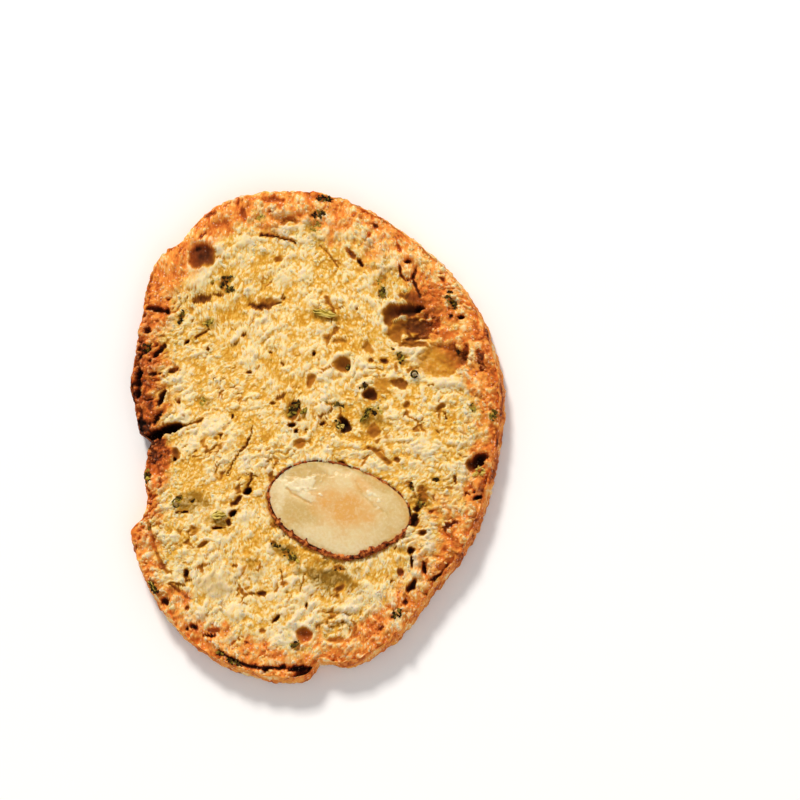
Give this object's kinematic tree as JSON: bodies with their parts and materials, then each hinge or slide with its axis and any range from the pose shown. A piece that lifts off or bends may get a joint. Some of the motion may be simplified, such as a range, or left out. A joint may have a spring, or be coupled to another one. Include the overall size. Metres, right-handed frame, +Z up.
{
  "type": "garlic cracker",
  "caption": "Thin, twice-baked savoury cracker slice with a toasted rim, herb flakes, air holes and an almond cut lengthwise in its face.",
  "frame": {"origin": "on the flat back face, under the middle of the slice's box", "axes": "+X across the slice, +Y along its length, +Z up out of the cut face; the almond lies on the -Y side of the middle"},
  "size_m": [0.0537, 0.0706, 0.006],
  "materials": {
    "baked_crumb": "dry, grainy baked crumb, golden in the middle and toasted orange-brown at the rim, with olive-green herb flakes",
    "almond_flesh": "smooth, slightly waxy cut almond, creamy at the edge and amber in the middle",
    "almond_skin": "thin, dry, wrinkled reddish-brown almond skin"
  },
  "bodies": {
    "root": {"cracker": "baked_crumb", "almond_kernel": "almond_flesh", "almond_skin": "almond_skin"}
  },
  "joints": []
}
